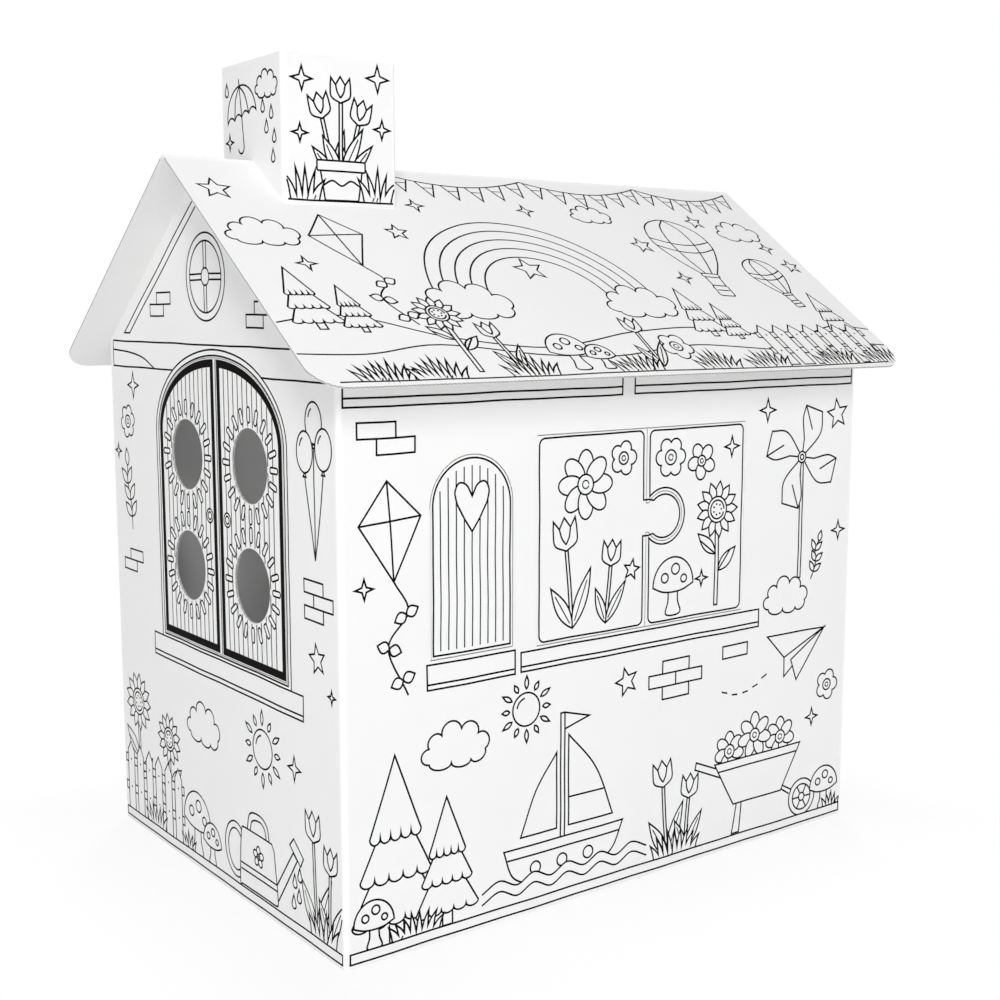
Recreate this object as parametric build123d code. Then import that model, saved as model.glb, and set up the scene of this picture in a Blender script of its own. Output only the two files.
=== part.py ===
from build123d import *
import os
from math import cos, radians, sin, tan

# A cardboard playhouse: one folded wall sheet, one folded roof sheet and one folded chimney sleeve.
# Sizes are in millimetres. X runs along the ridge, Z is up, the floor is at zero.

# Board
board = 3.0
fold_inner = 2.5

# Walls
house_length = 950.0
house_width = 700.0
wall_height = 776.0
glue_lap = 45.0
gable_flat = 14.0

# Roof
roof_pitch = 36.0
eave_overhang = 55.0
gable_overhang = 57.0
roof_corner = 45.0
eave_flap = 60.0
flap_relief = 8.0

# Chimney
chimney_width = 180.0
chimney_rise = 134.0
chimney_inset = 76.0
chimney_lap = 30.0
tongue_width = 64.0
tongue_reach = 34.0
tongue_corner = 14.0
slot_gap = 0.5

# Die cuts and creases
kerf = 1.4
crease_width = 3.0
crease_depth = 0.9

# Arched window in the front gable, measured from the gable's middle line
gable_window_shift = 22.0
gable_leaf = 190.0
gable_sill_z = 344.0
gable_spring_z = 650.0
gable_rise = 112.0
porthole = 102.0
porthole_shift = 97.0
porthole_low_z = 459.0
porthole_high_z = 621.0

# Arched shutter in the long wall
shutter_x = -276.0
shutter_width = 132.0
shutter_low_z = 382.0
shutter_spring_z = 578.0

# Pair of interlocking leaves in the long wall
pair_x = 29.0
pair_width = 396.0
pair_low_z = 376.0
pair_high_z = 662.0
knob_radius = 36.0
knob_neck = 42.0
knob_reach = 34.0
knob_z = 534.0

# Door in the rear gable
door_width = 370.0
door_low_z = 50.0
door_spring_z = 520.0
door_rise = 130.0
door_grip = 42.0
door_grip_z = 370.0
door_grip_inset = 46.0

# Derived sizes
slope = tan(radians(roof_pitch))
half_length = house_length / 2
half_width = house_width / 2
half_chimney = chimney_width / 2
outer_fold = fold_inner + board
under_ridge = wall_height + half_width * slope
top_ridge = under_ridge + board / cos(radians(roof_pitch))
roof_length = house_length + 2 * gable_overhang
roof_half = half_width + eave_overhang
chimney_x = -half_length + chimney_inset + half_chimney
chimney_top = top_ridge + chimney_rise


def folded_strip(points, side):
    """Cross-section of a sheet folded along points, its outer face; side 1 thickens left, -1 right."""
    inner = []
    normals = []
    for start, end in zip(points, points[1:]):
        run = Vector(*end) - Vector(*start)
        run = run.normalized()
        normals.append(Vector(-run.Y, run.X) * side)
    for index, point in enumerate(points):
        before = normals[max(index - 1, 0)]
        after = normals[min(index, len(normals) - 1)]
        step = (before + after) * (board / (1 + before.dot(after)))
        inner.append(Vector(*point) + step)
    outer_line = FilletPolyline(*points, radius=outer_fold)
    inner_line = FilletPolyline(*inner, radius=fold_inner)
    first_cap = Line(outer_line @ 0, inner_line @ 0)
    last_cap = Line(outer_line @ 1, inner_line @ 1)
    edges = outer_line.edges() + inner_line.edges() + first_cap.edges() + last_cap.edges()
    return make_face(edges)


def glued_sleeve(length, width, lap, height):
    """A sheet folded round four corners, with its glue lap inside the fourth one."""
    x = length / 2
    y = width / 2
    path = [(x - board, y - lap), (x - board, y), (-x, y), (-x, -y), (x, -y), (x, -y / 2)]
    ring = extrude(folded_strip(path, 1), amount=height)
    panel_depth = 1.5 * y
    panel = Pos(x - board / 2, y - panel_depth / 2, height / 2) * Box(board, panel_depth, height)
    return ring + panel


def across_ridge(points, length):
    """A prism with its profile in Y and Z, centred along the ridge."""
    return extrude(Plane.YZ * make_face(Polyline(*points, close=True)), amount=length / 2, both=True)


def on_wall(wall):
    """The outer face of a wall, with its own x to the right and y up."""
    facing = {
        "front": Plane((-half_length, 0, 0), x_dir=(0, -1, 0), z_dir=(-1, 0, 0)),
        "rear": Plane((half_length, 0, 0), x_dir=(0, 1, 0), z_dir=(1, 0, 0)),
        "long": Plane((0, -half_width, 0), x_dir=(1, 0, 0), z_dir=(0, -1, 0)),
    }
    return facing[wall]


def cut_line(wall, line):
    """A die cut right through a wall along a line."""
    return extrude(on_wall(wall) * trace(line, kerf), amount=2 * board, both=True)


def crease(wall, x, low, high):
    """A pressed hinge line on the outer face of a wall."""
    groove = Pos(x, (low + high) / 2) * Rectangle(crease_width, high - low)
    return extrude(on_wall(wall) * groove, amount=crease_depth, both=True)


def round_hole(wall, x, z, diameter):
    return extrude(on_wall(wall) * Pos(x, z) * Circle(diameter / 2), amount=2 * board, both=True)


def arch_line(x, half, low, spring, rise):
    """The die line of an arched leaf or pair of leaves, open along the hinge side or sides."""
    foot = Line((x - half, low), (x + half, low))
    arch = EllipticalCenterArc((x, spring), half, rise, start_angle=0, arc_size=180)
    return foot, arch


# Wall sheet: four walls, two of them gables, with a flap under the roof along each long wall
walls = glued_sleeve(house_length, house_width, glue_lap, under_ridge)
beyond = house_width
roof_space = across_ridge(
    [
        (-beyond, under_ridge - beyond * slope),
        (0, under_ridge),
        (beyond, under_ridge - beyond * slope),
        (beyond, under_ridge + beyond),
        (-beyond, under_ridge + beyond),
    ],
    2 * house_length,
)
walls = walls - roof_space
apex_z = under_ridge - gable_flat / 2 * slope
walls = walls - Pos(0, 0, apex_z + beyond / 2) * Box(2 * house_length, house_width, beyond)

flap_length = house_length - 2 * (outer_fold + flap_relief)
fold_drop = 2 * outer_fold
flap_path = [
    (-half_width, wall_height - fold_drop),
    (-half_width, wall_height),
    (-half_width + eave_flap * cos(radians(roof_pitch)), wall_height + eave_flap * sin(radians(roof_pitch))),
]
flap_near = extrude(Plane.YZ * folded_strip(flap_path, -1), amount=flap_length / 2, both=True)
flap_room = Pos(0, -half_width, wall_height) * Box(flap_length, 4 * board, 2 * fold_drop)
for turn in (0, 180):
    walls = walls - Rot(0, 0, turn) * flap_room
    walls = walls + Rot(0, 0, turn) * flap_near

# Arched double window with four round openings in the front gable
cuts = []
foot, arch = arch_line(gable_window_shift, gable_leaf, gable_sill_z, gable_spring_z, gable_rise)
crown = gable_spring_z + gable_rise
meeting = Line((gable_window_shift, gable_sill_z), (gable_window_shift, crown))
for line in (foot, arch, meeting):
    cuts.append(cut_line("front", line))
for side in (-1, 1):
    cuts.append(crease("front", gable_window_shift + side * gable_leaf, gable_sill_z, gable_spring_z))
    for z in (porthole_low_z, porthole_high_z):
        cuts.append(round_hole("front", gable_window_shift + side * porthole_shift, z, porthole))

# Arched shutter in the long wall, hinged on its left
half_shutter = shutter_width / 2
foot, arch = arch_line(shutter_x, half_shutter, shutter_low_z, shutter_spring_z, half_shutter)
latch = Line((shutter_x + half_shutter, shutter_low_z), (shutter_x + half_shutter, shutter_spring_z))
for line in (foot, arch, latch):
    cuts.append(cut_line("long", line))
cuts.append(crease("long", shutter_x - half_shutter, shutter_low_z, shutter_spring_z))

# Pair of leaves in the long wall, locked by a round knob
half_pair = pair_width / 2
for z in (pair_low_z, pair_high_z):
    cuts.append(cut_line("long", Line((pair_x - half_pair, z), (pair_x + half_pair, z))))
half_neck = knob_neck / 2
knob_x = pair_x + knob_reach
neck_turn = (knob_radius**2 - half_neck**2) ** 0.5
neck_x = knob_x - neck_turn
cuts.append(cut_line("long", Line((pair_x, pair_low_z), (pair_x, knob_z - half_neck))))
cuts.append(cut_line("long", Line((pair_x, knob_z + half_neck), (pair_x, pair_high_z))))
for z in (knob_z - half_neck, knob_z + half_neck):
    cuts.append(cut_line("long", Line((pair_x - kerf / 2, z), (neck_x, z))))
knob = ThreePointArc(
    (neck_x, knob_z - half_neck),
    (knob_x + knob_radius, knob_z),
    (neck_x, knob_z + half_neck),
)
cuts.append(cut_line("long", knob))
for side in (-1, 1):
    cuts.append(crease("long", pair_x + side * half_pair, pair_low_z, pair_high_z))

# Arched door in the rear gable, hinged on its left, with a finger hole
half_door = door_width / 2
foot, arch = arch_line(0, half_door, door_low_z, door_spring_z, door_rise)
latch = Line((half_door, door_low_z), (half_door, door_spring_z))
for line in (foot, arch, latch):
    cuts.append(cut_line("rear", line))
cuts.append(crease("rear", -half_door, door_low_z, door_spring_z))
cuts.append(round_hole("rear", half_door - door_grip_inset, door_grip_z, door_grip))
walls = walls - cuts

# Roof sheet: one fold along the ridge, rounded corners, two slots for the chimney's tongues
roof_path = [
    (-roof_half, top_ridge - roof_half * slope),
    (0, top_ridge),
    (roof_half, top_ridge - roof_half * slope),
]
roof = extrude(Plane.YZ * folded_strip(roof_path, -1), amount=roof_length / 2, both=True)
corners = [edge for edge in roof.edges() if abs(edge.length - board) < 0.01]
roof = fillet(corners, roof_corner)

# Chimney sleeve: open at the top, notched over the ridge, with a tongue down through each slope
tongue_y = half_chimney - board / 2
tongue_root = top_ridge - half_chimney * slope
tongue_tip = tongue_root - tongue_reach
seat_depth = top_ridge - tongue_tip
sleeve_height = chimney_top - tongue_tip
chimney = Pos(chimney_x, 0, tongue_tip) * glued_sleeve(chimney_width, chimney_width, chimney_lap, sleeve_height)
below_roof = across_ridge(
    [
        (-beyond, top_ridge - beyond * slope),
        (0, top_ridge),
        (beyond, top_ridge - beyond * slope),
        (beyond, -beyond),
        (-beyond, -beyond),
    ],
    2 * house_length,
)
chimney = chimney - below_roof
tongue_height = tongue_reach + board
tongue = Pos(chimney_x, 0, tongue_tip + tongue_height / 2) * Box(tongue_width, board, tongue_height)
tongue = fillet(tongue.edges().filter_by(Axis.Y).group_by(Axis.Z)[0], tongue_corner)
slot = Box(tongue_width + 2 * slot_gap, board + 2 * slot_gap, 2 * seat_depth)
for side in (-1, 1):
    chimney = chimney + Pos(0, side * tongue_y, 0) * tongue
    roof = roof - Pos(chimney_x, side * tongue_y, tongue_root) * slot

os.makedirs("parts", exist_ok=True)
export_step(walls, "parts/wall_sheet.step")
export_step(roof, "parts/roof_sheet.step")
export_step(chimney, "parts/chimney_sleeve.step")
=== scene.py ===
# %% [markdown]
# # A cardboard playhouse
# The house is three sheets of white corrugated board: the walls, the roof and the chimney. The solids
# already have the right folds, holes and die cuts, so they stay. What this lesson adds is the board's own
# surface, the section that shows at its cut edges, and the black line print for colouring in.

# %% Load the folded sheets
from functools import partial
from math import cos, pi, radians, sin, tan
import bpy
import numpy as np
from mathutils import Matrix, Vector


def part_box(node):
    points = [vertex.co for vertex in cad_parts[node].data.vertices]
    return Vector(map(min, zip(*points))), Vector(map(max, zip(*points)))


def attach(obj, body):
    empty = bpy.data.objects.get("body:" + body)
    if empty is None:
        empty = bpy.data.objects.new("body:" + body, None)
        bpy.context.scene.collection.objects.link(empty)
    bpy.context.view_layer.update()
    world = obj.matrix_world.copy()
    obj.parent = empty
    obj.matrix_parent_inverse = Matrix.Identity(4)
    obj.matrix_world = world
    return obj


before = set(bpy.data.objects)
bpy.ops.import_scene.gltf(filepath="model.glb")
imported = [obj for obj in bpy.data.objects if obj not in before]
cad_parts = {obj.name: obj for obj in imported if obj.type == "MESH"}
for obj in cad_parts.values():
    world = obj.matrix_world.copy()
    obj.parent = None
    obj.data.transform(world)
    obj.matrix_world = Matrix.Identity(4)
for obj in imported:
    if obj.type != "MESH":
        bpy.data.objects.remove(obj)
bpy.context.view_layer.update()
bpy.ops.object.select_all(action="DESELECT")
wall_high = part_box("wall_sheet")[1]
roof_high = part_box("roof_sheet")[1]
stack_low, stack_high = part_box("chimney_sleeve")
print("sheets:", sorted(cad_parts))

# %% [markdown]
# The print is laid out in millimetres, so the house's main sizes are read from the sheets and turned into
# millimetres once. The roof's pitch, the board's thickness and the height of the eaves are what a box can't
# give.

# %% Main sizes
MM = 1000
PITCH = radians(36)
SLOPE = tan(PITCH)
board = 3.0
eave_height = 776.0
half_length = wall_high[0] * MM
half_width = wall_high[1] * MM
roof_end = roof_high[0] * MM
eave_reach = roof_high[1] * MM
under_ridge = eave_height + half_width * SLOPE
ridge_top = under_ridge + board / cos(PITCH)
eave_top = ridge_top - eave_reach * SLOPE
slope_length = eave_reach / cos(PITCH)
stack_half = (stack_high[0] - stack_low[0]) * MM / 2
stack_middle = (stack_high[0] + stack_low[0]) * MM / 2
stack_top = stack_high[2] * MM
print(f"walls {2 * half_length:.0f} x {2 * half_width:.0f} mm")
print(f"ridge {ridge_top:.0f} mm, {under_ridge:.0f} mm below the board, slope {slope_length:.0f} mm")

# %% [markdown]
# The camera stands low and close, looking at the corner between the window gable and the long wall. Its
# place and lens come from fitting the corners of the house, so they are given as numbers and not by eye.

# %% Camera
CAMERA_PLACE = (-1.3414, -1.8251, 0.8328)
LOOK_DOWN = 0.1356
LOOK_ASIDE = -0.6452
bpy.ops.object.camera_add(location=CAMERA_PLACE, rotation=(pi / 2 - LOOK_DOWN, 0, LOOK_ASIDE))
camera = bpy.context.object
camera.name = "camera"
camera.data.sensor_width = 36
camera.data.lens = 51.27
bpy.context.scene.camera = camera
bpy.context.scene.view_settings.view_transform = "Standard"
print(f"camera lens {camera.data.lens:.2f} mm")

# %% [markdown]
# The light and the materials are node trees. By hand they are dragged and joined in the shader editor. Here
# a few small helpers say the same in one line each: new nodes by kind, a join, a Math node, a smooth step,
# a mix of two colours, and a fine noise.

# %% Small node helpers
def new_nodes(tree, *kinds):
    """New nodes of the given kinds, in that order."""
    return [tree.nodes.new("ShaderNode" + kind) for kind in kinds]


def wire(tree, value, socket):
    """Join a socket to another one, or set a plain number or colour on it."""
    if isinstance(value, (int, float, tuple)):
        socket.default_value = value
    else:
        tree.links.new(value, socket)


def sums(tree, operation, *values):
    """A Math node; returns its output."""
    node = tree.nodes.new("ShaderNodeMath")
    node.operation = operation
    for value, socket in zip(values, node.inputs):
        wire(tree, value, socket)
    return node.outputs[0]


def fade(tree, value, start, end):
    """0 at start, 1 at end, smooth between."""
    node = tree.nodes.new("ShaderNodeMapRange")
    node.interpolation_type = "SMOOTHSTEP"
    for name, setting in (("Value", value), ("From Min", start), ("From Max", end)):
        wire(tree, setting, node.inputs[name])
    return node.outputs["Result"]


def tint(tree, amount, under, over):
    """Mix two colours; each is a socket or a plain colour."""
    node = tree.nodes.new("ShaderNodeMix")
    node.data_type = "RGBA"
    for name, setting in (("Factor", amount), ("A", under), ("B", over)):
        wire(tree, setting, node.inputs[name])
    return node.outputs["Result"]


def grain(tree, place, scale, detail):
    """Fine noise in object space; returns its value."""
    node = tree.nodes.new("ShaderNodeTexNoise")
    for name, setting in (("Vector", place), ("Scale", scale), ("Detail", detail)):
        wire(tree, setting, node.inputs[name])
    return node.outputs["Fac"]


print("node helpers:", *(helper.__name__ for helper in (new_nodes, wire, sums, fade, tint, grain)))

# %% [markdown]
# White card needs soft, even light: most of it comes from the sky all round. Two far lamps over the
# camera's left make the long wall the brightest and let the roof's edge throw a soft shadow on the gable. A
# low one lifts the underside of the roof, one behind serves the far walls, and a small one inside keeps the
# holes from going black. What the camera itself sees of the sky is plain white.

# %% Light
PLAIN_WHITE = (1, 1, 1, 1)
SKY_STRENGTH = 0.6
world = bpy.data.worlds.new("studio")
bpy.context.scene.world = world
world.use_nodes = True
sky = world.node_tree
sky.nodes.clear()
sky_out, sky_mix, sky_rays, sky_ramp = new_nodes(sky, "OutputWorld", "MixShader", "LightPath", "ValToRGB")
sky_light, sky_white = new_nodes(sky, "Background", "Background")
sky_place, sky_split = new_nodes(sky, "TexCoord", "SeparateXYZ")
sky_ramp.color_ramp.elements[0].color = (0.945, 0.945, 0.945, 1)
sky_ramp.color_ramp.elements[1].color = (0.94, 0.945, 0.95, 1)
wire(sky, PLAIN_WHITE, sky_white.inputs["Color"])
wire(sky, SKY_STRENGTH, sky_light.inputs["Strength"])
wire(sky, sky_place.outputs["Generated"], sky_split.inputs[0])
wire(sky, sky_split.outputs["Z"], sky_ramp.inputs["Fac"])
wire(sky, sky_ramp.outputs["Color"], sky_light.inputs["Color"])
wire(sky, sky_rays.outputs["Is Camera Ray"], sky_mix.inputs["Fac"])
wire(sky, sky_light.outputs[0], sky_mix.inputs[1])
wire(sky, sky_white.outputs[0], sky_mix.inputs[2])
wire(sky, sky_mix.outputs[0], sky_out.inputs["Surface"])


def soft_lamp(name, place, target, size, watts):
    """A round area lamp aimed at a point."""
    bpy.ops.object.light_add(type="AREA", location=place)
    lamp = bpy.context.object
    lamp.name = name
    lamp.data.shape = "DISK"
    lamp.data.size = size
    lamp.data.energy = watts
    aim = Vector(target) - lamp.location
    lamp.rotation_euler = aim.to_track_quat("-Z", "Y").to_euler()
    print(name, watts, "W")


LAMP_TARGET = (-0.45, 0.0, 0.6)
soft_lamp("high_lamp", (-3.25, -4.2, 4.6), LAMP_TARGET, 1.6, 101)
soft_lamp("broad_lamp", (-2.55, -5.0, 3.2), LAMP_TARGET, 1.6, 78)
soft_lamp("low_lamp", (-2.6, -1.5, 0.15), LAMP_TARGET, 1.8, 9.5)
soft_lamp("rear_lamp", (3.6, 4.4, 3.6), (0.3, 0.0, 0.6), 1.8, 90)
soft_lamp("room_lamp", (0.1, 0.0, 0.35), (0.1, 0.0, 1.0), 0.5, 0.42)

# %% [markdown]
# The floor is a pale sheet. The camera sees it as plain white further off, while it keeps a soft shadow
# beside the walls. Inside the house it gets no white at all, so the finger hole in the door doesn't glow.

# %% Floor
FLOOR_DROP = 0.0004
FLOOR_PALE = (0.9, 0.9, 0.9, 1)
WALL_MARGIN = 0.002
WHITE_AT_WALL = 0.72
SHADE_START = 0.02
SHADE_END = 0.25
bpy.ops.mesh.primitive_grid_add(x_subdivisions=8, y_subdivisions=8, size=30, location=(0, 0, -FLOOR_DROP))
floor = bpy.context.object
floor.name = "floor"
floor_finish = bpy.data.materials.new("pale_floor")
floor_finish.use_nodes = True
tree = floor_finish.node_tree
tree.nodes.clear()
floor_out, floor_mix, floor_rays = new_nodes(tree, "OutputMaterial", "MixShader", "LightPath")
floor_matte, floor_white = new_nodes(tree, "BsdfDiffuse", "Emission")
floor_place, floor_split = new_nodes(tree, "TexCoord", "SeparateXYZ")
wire(tree, floor_place.outputs["Object"], floor_split.inputs[0])
from_gable = sums(tree, "SUBTRACT", sums(tree, "ABSOLUTE", floor_split.outputs["X"]), wall_high[0])
from_long_wall = sums(tree, "SUBTRACT", sums(tree, "ABSOLUTE", floor_split.outputs["Y"]), wall_high[1])
from_house = sums(tree, "MAXIMUM", from_gable, from_long_wall)
outside = sums(tree, "GREATER_THAN", from_house, -WALL_MARGIN)
seen_outside = sums(tree, "MULTIPLY", floor_rays.outputs["Is Camera Ray"], outside)
unshaded = fade(tree, from_house, SHADE_START, SHADE_END)
white_share = sums(tree, "MULTIPLY_ADD", unshaded, 1 - WHITE_AT_WALL, WHITE_AT_WALL)
wire(tree, tint(tree, seen_outside, FLOOR_PALE, PLAIN_WHITE), floor_matte.inputs["Color"])
wire(tree, sums(tree, "MULTIPLY", seen_outside, white_share), floor_mix.inputs["Fac"])
wire(tree, floor_matte.outputs[0], floor_mix.inputs[1])
wire(tree, floor_white.outputs[0], floor_mix.inputs[2])
wire(tree, floor_mix.outputs[0], floor_out.inputs["Surface"])
floor.data.materials.append(floor_finish)
print("floor", floor.name)

# %% [markdown]
# Corrugated board has two white liners with a waved sheet between them. Three things show it: liners with a
# faint washboard and paper grain, a paler line along each fold, which is a painted highlight, and, at every
# cut edge, the wave itself with painted shade in its hollows. All three can be worked out from where a point
# lies. Its depth below the outer face tells the cut edge from the liner, so one finish serves the whole sheet
# and needs no unwrapping.

# %% Board finish
BOARD_DEPTH = board / MM
LINER_DEPTH = 0.0003
FLUTE = 2 * pi / 0.0066
WAVE_RISE = 0.00088
WAVE_HALF = 0.00032
WASHBOARD_RELIEF = 0.000011
FIBRE_RELIEF = 0.00003
CLOUDY_RELIEF = 0.0004
LINER = (0.895, 0.895, 0.89, 1)
LINER_SHADE = (0.885, 0.886, 0.884, 1)
# A paler tone along the folds: a painted highlight.
PAINTED_FOLD_HIGHLIGHT = (0.95, 0.95, 0.948, 1)
CORE = (0.75, 0.74, 0.72, 1)
# Painted shade for the hollows of the wave at cut edges.
PAINTED_HOLLOW_SHADE = (0.33, 0.325, 0.31, 1)
PAPER_ROUGHNESS = 0.5
FIBRE_ROUGHNESS = 0.16
PAPER_SHINE = 0.32
CORNER_CLEAR = 0.0062
# How far the painted fold highlight reaches from a wall corner and from the ridge.
CORNER_HIGHLIGHT_REACH = 0.010
RIDGE_CLEAR = 0.006
RIDGE_HIGHLIGHT_REACH = 0.012


def board_finish(name, measure):
    """The finish of one sheet; measure gives depth, cut mask, the mask of a painted highlight along the
    folds, and the run across the flutes.
    """
    finish = bpy.data.materials.new(name)
    finish.use_nodes = True
    tree = finish.node_tree
    shader = tree.nodes["Principled BSDF"]
    coordinates, split, geometry, facing, bump = new_nodes(
        tree, "TexCoord", "SeparateXYZ", "NewGeometry", "SeparateXYZ", "Bump")
    place = coordinates.outputs["Object"]
    wire(tree, place, split.inputs[0])
    wire(tree, geometry.outputs["True Normal"], facing.inputs[0])
    depth, cut, fold, run = measure(tree, split.outputs, facing.outputs)
    wave = sums(tree, "SINE", sums(tree, "MULTIPLY", run, FLUTE))
    middle = sums(tree, "MULTIPLY_ADD", wave, WAVE_RISE, BOARD_DEPTH / 2)
    off_wave = sums(tree, "ABSOLUTE", sums(tree, "SUBTRACT", depth, middle))
    # Painted shade: the hollows of the wave at a cut edge are coloured dark.
    hollow_shade = sums(tree, "MULTIPLY", cut, sums(tree, "GREATER_THAN", off_wave, WAVE_HALF))
    cloudy = grain(tree, place, 7, 3)
    fibre = grain(tree, place, 650, 4)
    paper = tint(tree, fade(tree, cloudy, 0.35, 0.7), LINER, LINER_SHADE)
    # Painted highlight: the liner is made paler along the folds.
    paper = tint(tree, fold, paper, PAINTED_FOLD_HIGHLIGHT)
    paper = tint(tree, cut, paper, tint(tree, fibre, CORE, LINER_SHADE))
    wire(tree, tint(tree, hollow_shade, paper, PAINTED_HOLLOW_SHADE), shader.inputs["Base Color"])
    roughness = sums(tree, "MULTIPLY_ADD", fibre, FIBRE_ROUGHNESS, PAPER_ROUGHNESS)
    wire(tree, roughness, shader.inputs["Roughness"])
    shader.inputs["Specular IOR Level"].default_value = PAPER_SHINE
    height = sums(tree, "MULTIPLY_ADD", wave, WASHBOARD_RELIEF, sums(tree, "MULTIPLY", fibre, FIBRE_RELIEF))
    height = sums(tree, "MULTIPLY_ADD", cloudy, CLOUDY_RELIEF, height)
    bump.inputs["Distance"].default_value = 1
    bump.inputs["Strength"].default_value = 1
    wire(tree, height, bump.inputs["Height"])
    wire(tree, bump.outputs["Normal"], shader.inputs["Normal"])
    return finish


def between_liners(tree, depth):
    """1 where a depth lies in the waved sheet."""
    above = sums(tree, "GREATER_THAN", depth, LINER_DEPTH)
    return sums(tree, "MULTIPLY", above, sums(tree, "LESS_THAN", depth, BOARD_DEPTH - LINER_DEPTH))


def sleeve_measure(middle_x, half_x, half_y):
    """Depths for a sheet folded round a rectangle: the walls, and the chimney."""
    def measure(tree, at, facing):
        off_middle = sums(tree, "ABSOLUTE", sums(tree, "SUBTRACT", at["X"], middle_x))
        deep_x = sums(tree, "SUBTRACT", half_x, off_middle)
        deep_y = sums(tree, "SUBTRACT", half_y, sums(tree, "ABSOLUTE", at["Y"]))
        depth = sums(tree, "MINIMUM", deep_x, deep_y)
        further = sums(tree, "MAXIMUM", deep_x, deep_y)
        on_end = sums(tree, "LESS_THAN", deep_x, deep_y)
        on_side = sums(tree, "SUBTRACT", 1.0, on_end)
        flat_x = sums(tree, "MULTIPLY", on_end, sums(tree, "ABSOLUTE", facing["X"]))
        flat_y = sums(tree, "MULTIPLY", on_side, sums(tree, "ABSOLUTE", facing["Y"]))
        edgewise = sums(tree, "LESS_THAN", sums(tree, "ADD", flat_x, flat_y), 0.5)
        off_fold = sums(tree, "GREATER_THAN", further, CORNER_CLEAR)
        cut = sums(tree, "MULTIPLY", sums(tree, "MULTIPLY", between_liners(tree, depth), off_fold), edgewise)
        # This fold mask places a painted highlight along the corner folds.
        fold = fade(tree, further, CORNER_HIGHLIGHT_REACH, BOARD_DEPTH)
        return depth, cut, fold, sums(tree, "ADD", at["X"], at["Y"])
    return measure


def roof_measure(tree, at, facing):
    """Depth below the upper face of either slope; the flutes run from eave to ridge."""
    out = sums(tree, "ABSOLUTE", at["Y"])
    below_ridge = sums(tree, "SUBTRACT", ridge_top / MM, at["Z"])
    drop = sums(tree, "SUBTRACT", below_ridge, sums(tree, "MULTIPLY", out, SLOPE))
    depth = sums(tree, "MULTIPLY", drop, cos(PITCH))
    off_fold = sums(tree, "GREATER_THAN", out, RIDGE_CLEAR)
    cut = sums(tree, "MULTIPLY", between_liners(tree, depth), off_fold)
    # This fold mask places a painted highlight along the ridge fold.
    fold = fade(tree, out, RIDGE_HIGHLIGHT_REACH, BOARD_DEPTH)
    return depth, cut, fold, at["X"]


wall_board = board_finish("wall_board", sleeve_measure(0.0, half_length / MM, half_width / MM))
stack_measure = sleeve_measure(stack_middle / MM, stack_half / MM, stack_half / MM)
stack_board = board_finish("chimney_board", stack_measure)
roof_board = board_finish("roof_board", roof_measure)
for node, finish in (("wall_sheet", wall_board), ("roof_sheet", roof_board), ("chimney_sleeve", stack_board)):
    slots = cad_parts[node].data.materials
    slots.clear()
    slots.append(finish)
    print(node, "has", finish.name)

# %% [markdown]
# The print is line art, and a line is easiest to make as a curve: a poly spline with a small bevel, turned
# into a mesh and pressed almost flat on the board. Drawings overlap, though, and a curve doesn't know what
# is in front of it. So each panel is drawn from back to front on a flat sheet in millimetres first, and
# every new closed shape rubs out the lines that it covers, as by hand.

# %% The drawing sheet
PEN = 2.6
FINE = 1.9
SHORTEST = 3


def new_panel():
    """An empty drawing."""
    return {"lines": [], "blacks": []}


def walk(points, closed=False):
    """The same line with a point about every millimetre; a closed one starts in the middle of a side."""
    points = np.asarray(points, float)
    if closed:
        middle = (points[0] + points[-1]) / 2
        points = np.vstack([middle, points, middle])
    out = [points[:1]]
    for start, end in zip(points, points[1:]):
        count = max(1, int(np.ceil(np.hypot(*(end - start)))))
        out.append(start + (end - start) * np.linspace(0, 1, count + 1)[1:, None])
    return np.vstack(out)


def is_inside(points, outline):
    """Which points lie inside a closed outline."""
    x, y = points[:, 0], points[:, 1]
    hit = np.zeros(len(points), bool)
    for (x0, y0), (x1, y1) in zip(outline, np.roll(outline, -1, axis=0)):
        if y0 == y1:
            continue
        level = (y0 > y) != (y1 > y)
        hit ^= level & (x < (x1 - x0) * (y - y0) / (y1 - y0) + x0)
    return hit


def rub_out(panel, outline, inside=True):
    """Remove what lies inside an outline, or all that lies outside it."""
    outline = np.asarray(outline, float)
    low, high = outline.min(axis=0), outline.max(axis=0)
    kept = []
    for line, width in panel["lines"]:
        if inside and ((line.max(axis=0) < low).any() or (line.min(axis=0) > high).any()):
            kept.append((line, width))
            continue
        stays = is_inside(line, outline) != inside
        edges = np.flatnonzero(np.diff(np.concatenate([[0], stays.astype(int), [0]])))
        for first, last in zip(edges[::2], edges[1::2]):
            if last - first > SHORTEST:
                kept.append((line[first:last], width))
    panel["lines"] = kept


def draw_line(panel, points, width=PEN):
    """A line covers nothing."""
    panel["lines"].append((walk(points), width))


def draw_shape(panel, outline):
    """A closed shape: it covers what is behind it."""
    rub_out(panel, outline)
    panel["lines"].append((walk(outline, closed=True), PEN))


def draw_open(panel, points):
    """A shape whose last side isn't drawn, such as a blade of grass: it covers, but its foot stays open."""
    rub_out(panel, points)
    draw_line(panel, points)


def draw_black(panel, *outlines):
    """A field of solid black; a second outline inside the first leaves a hole."""
    panel["blacks"].append([np.asarray(outline, float) for outline in outlines])


print("pen", PEN, "mm, fine pen", FINE, "mm")

# %% [markdown]
# A printed line becomes a poly spline. Straight runs need few points, so the line is thinned where it
# doesn't bend. At a sharp corner two more points hold the width, because a bevel narrows where it turns on
# one point. The real artwork is drawn by hand, so the lines also wander a little.

# %% From drawing to splines
WANDER = 0.26
SHARP = -0.82


def by_hand(points):
    """A drawing hand wanders: every line leaves its course by up to half a millimetre."""
    x, y = points[:, 0], points[:, 1]
    across = np.sin(y / 17) + np.sin(x / 37 + y / 29)
    upward = np.sin(x / 19 + 1) + np.sin(y / 33 - x / 41)
    return points + WANDER * np.stack([across, upward], axis=1)


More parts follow.
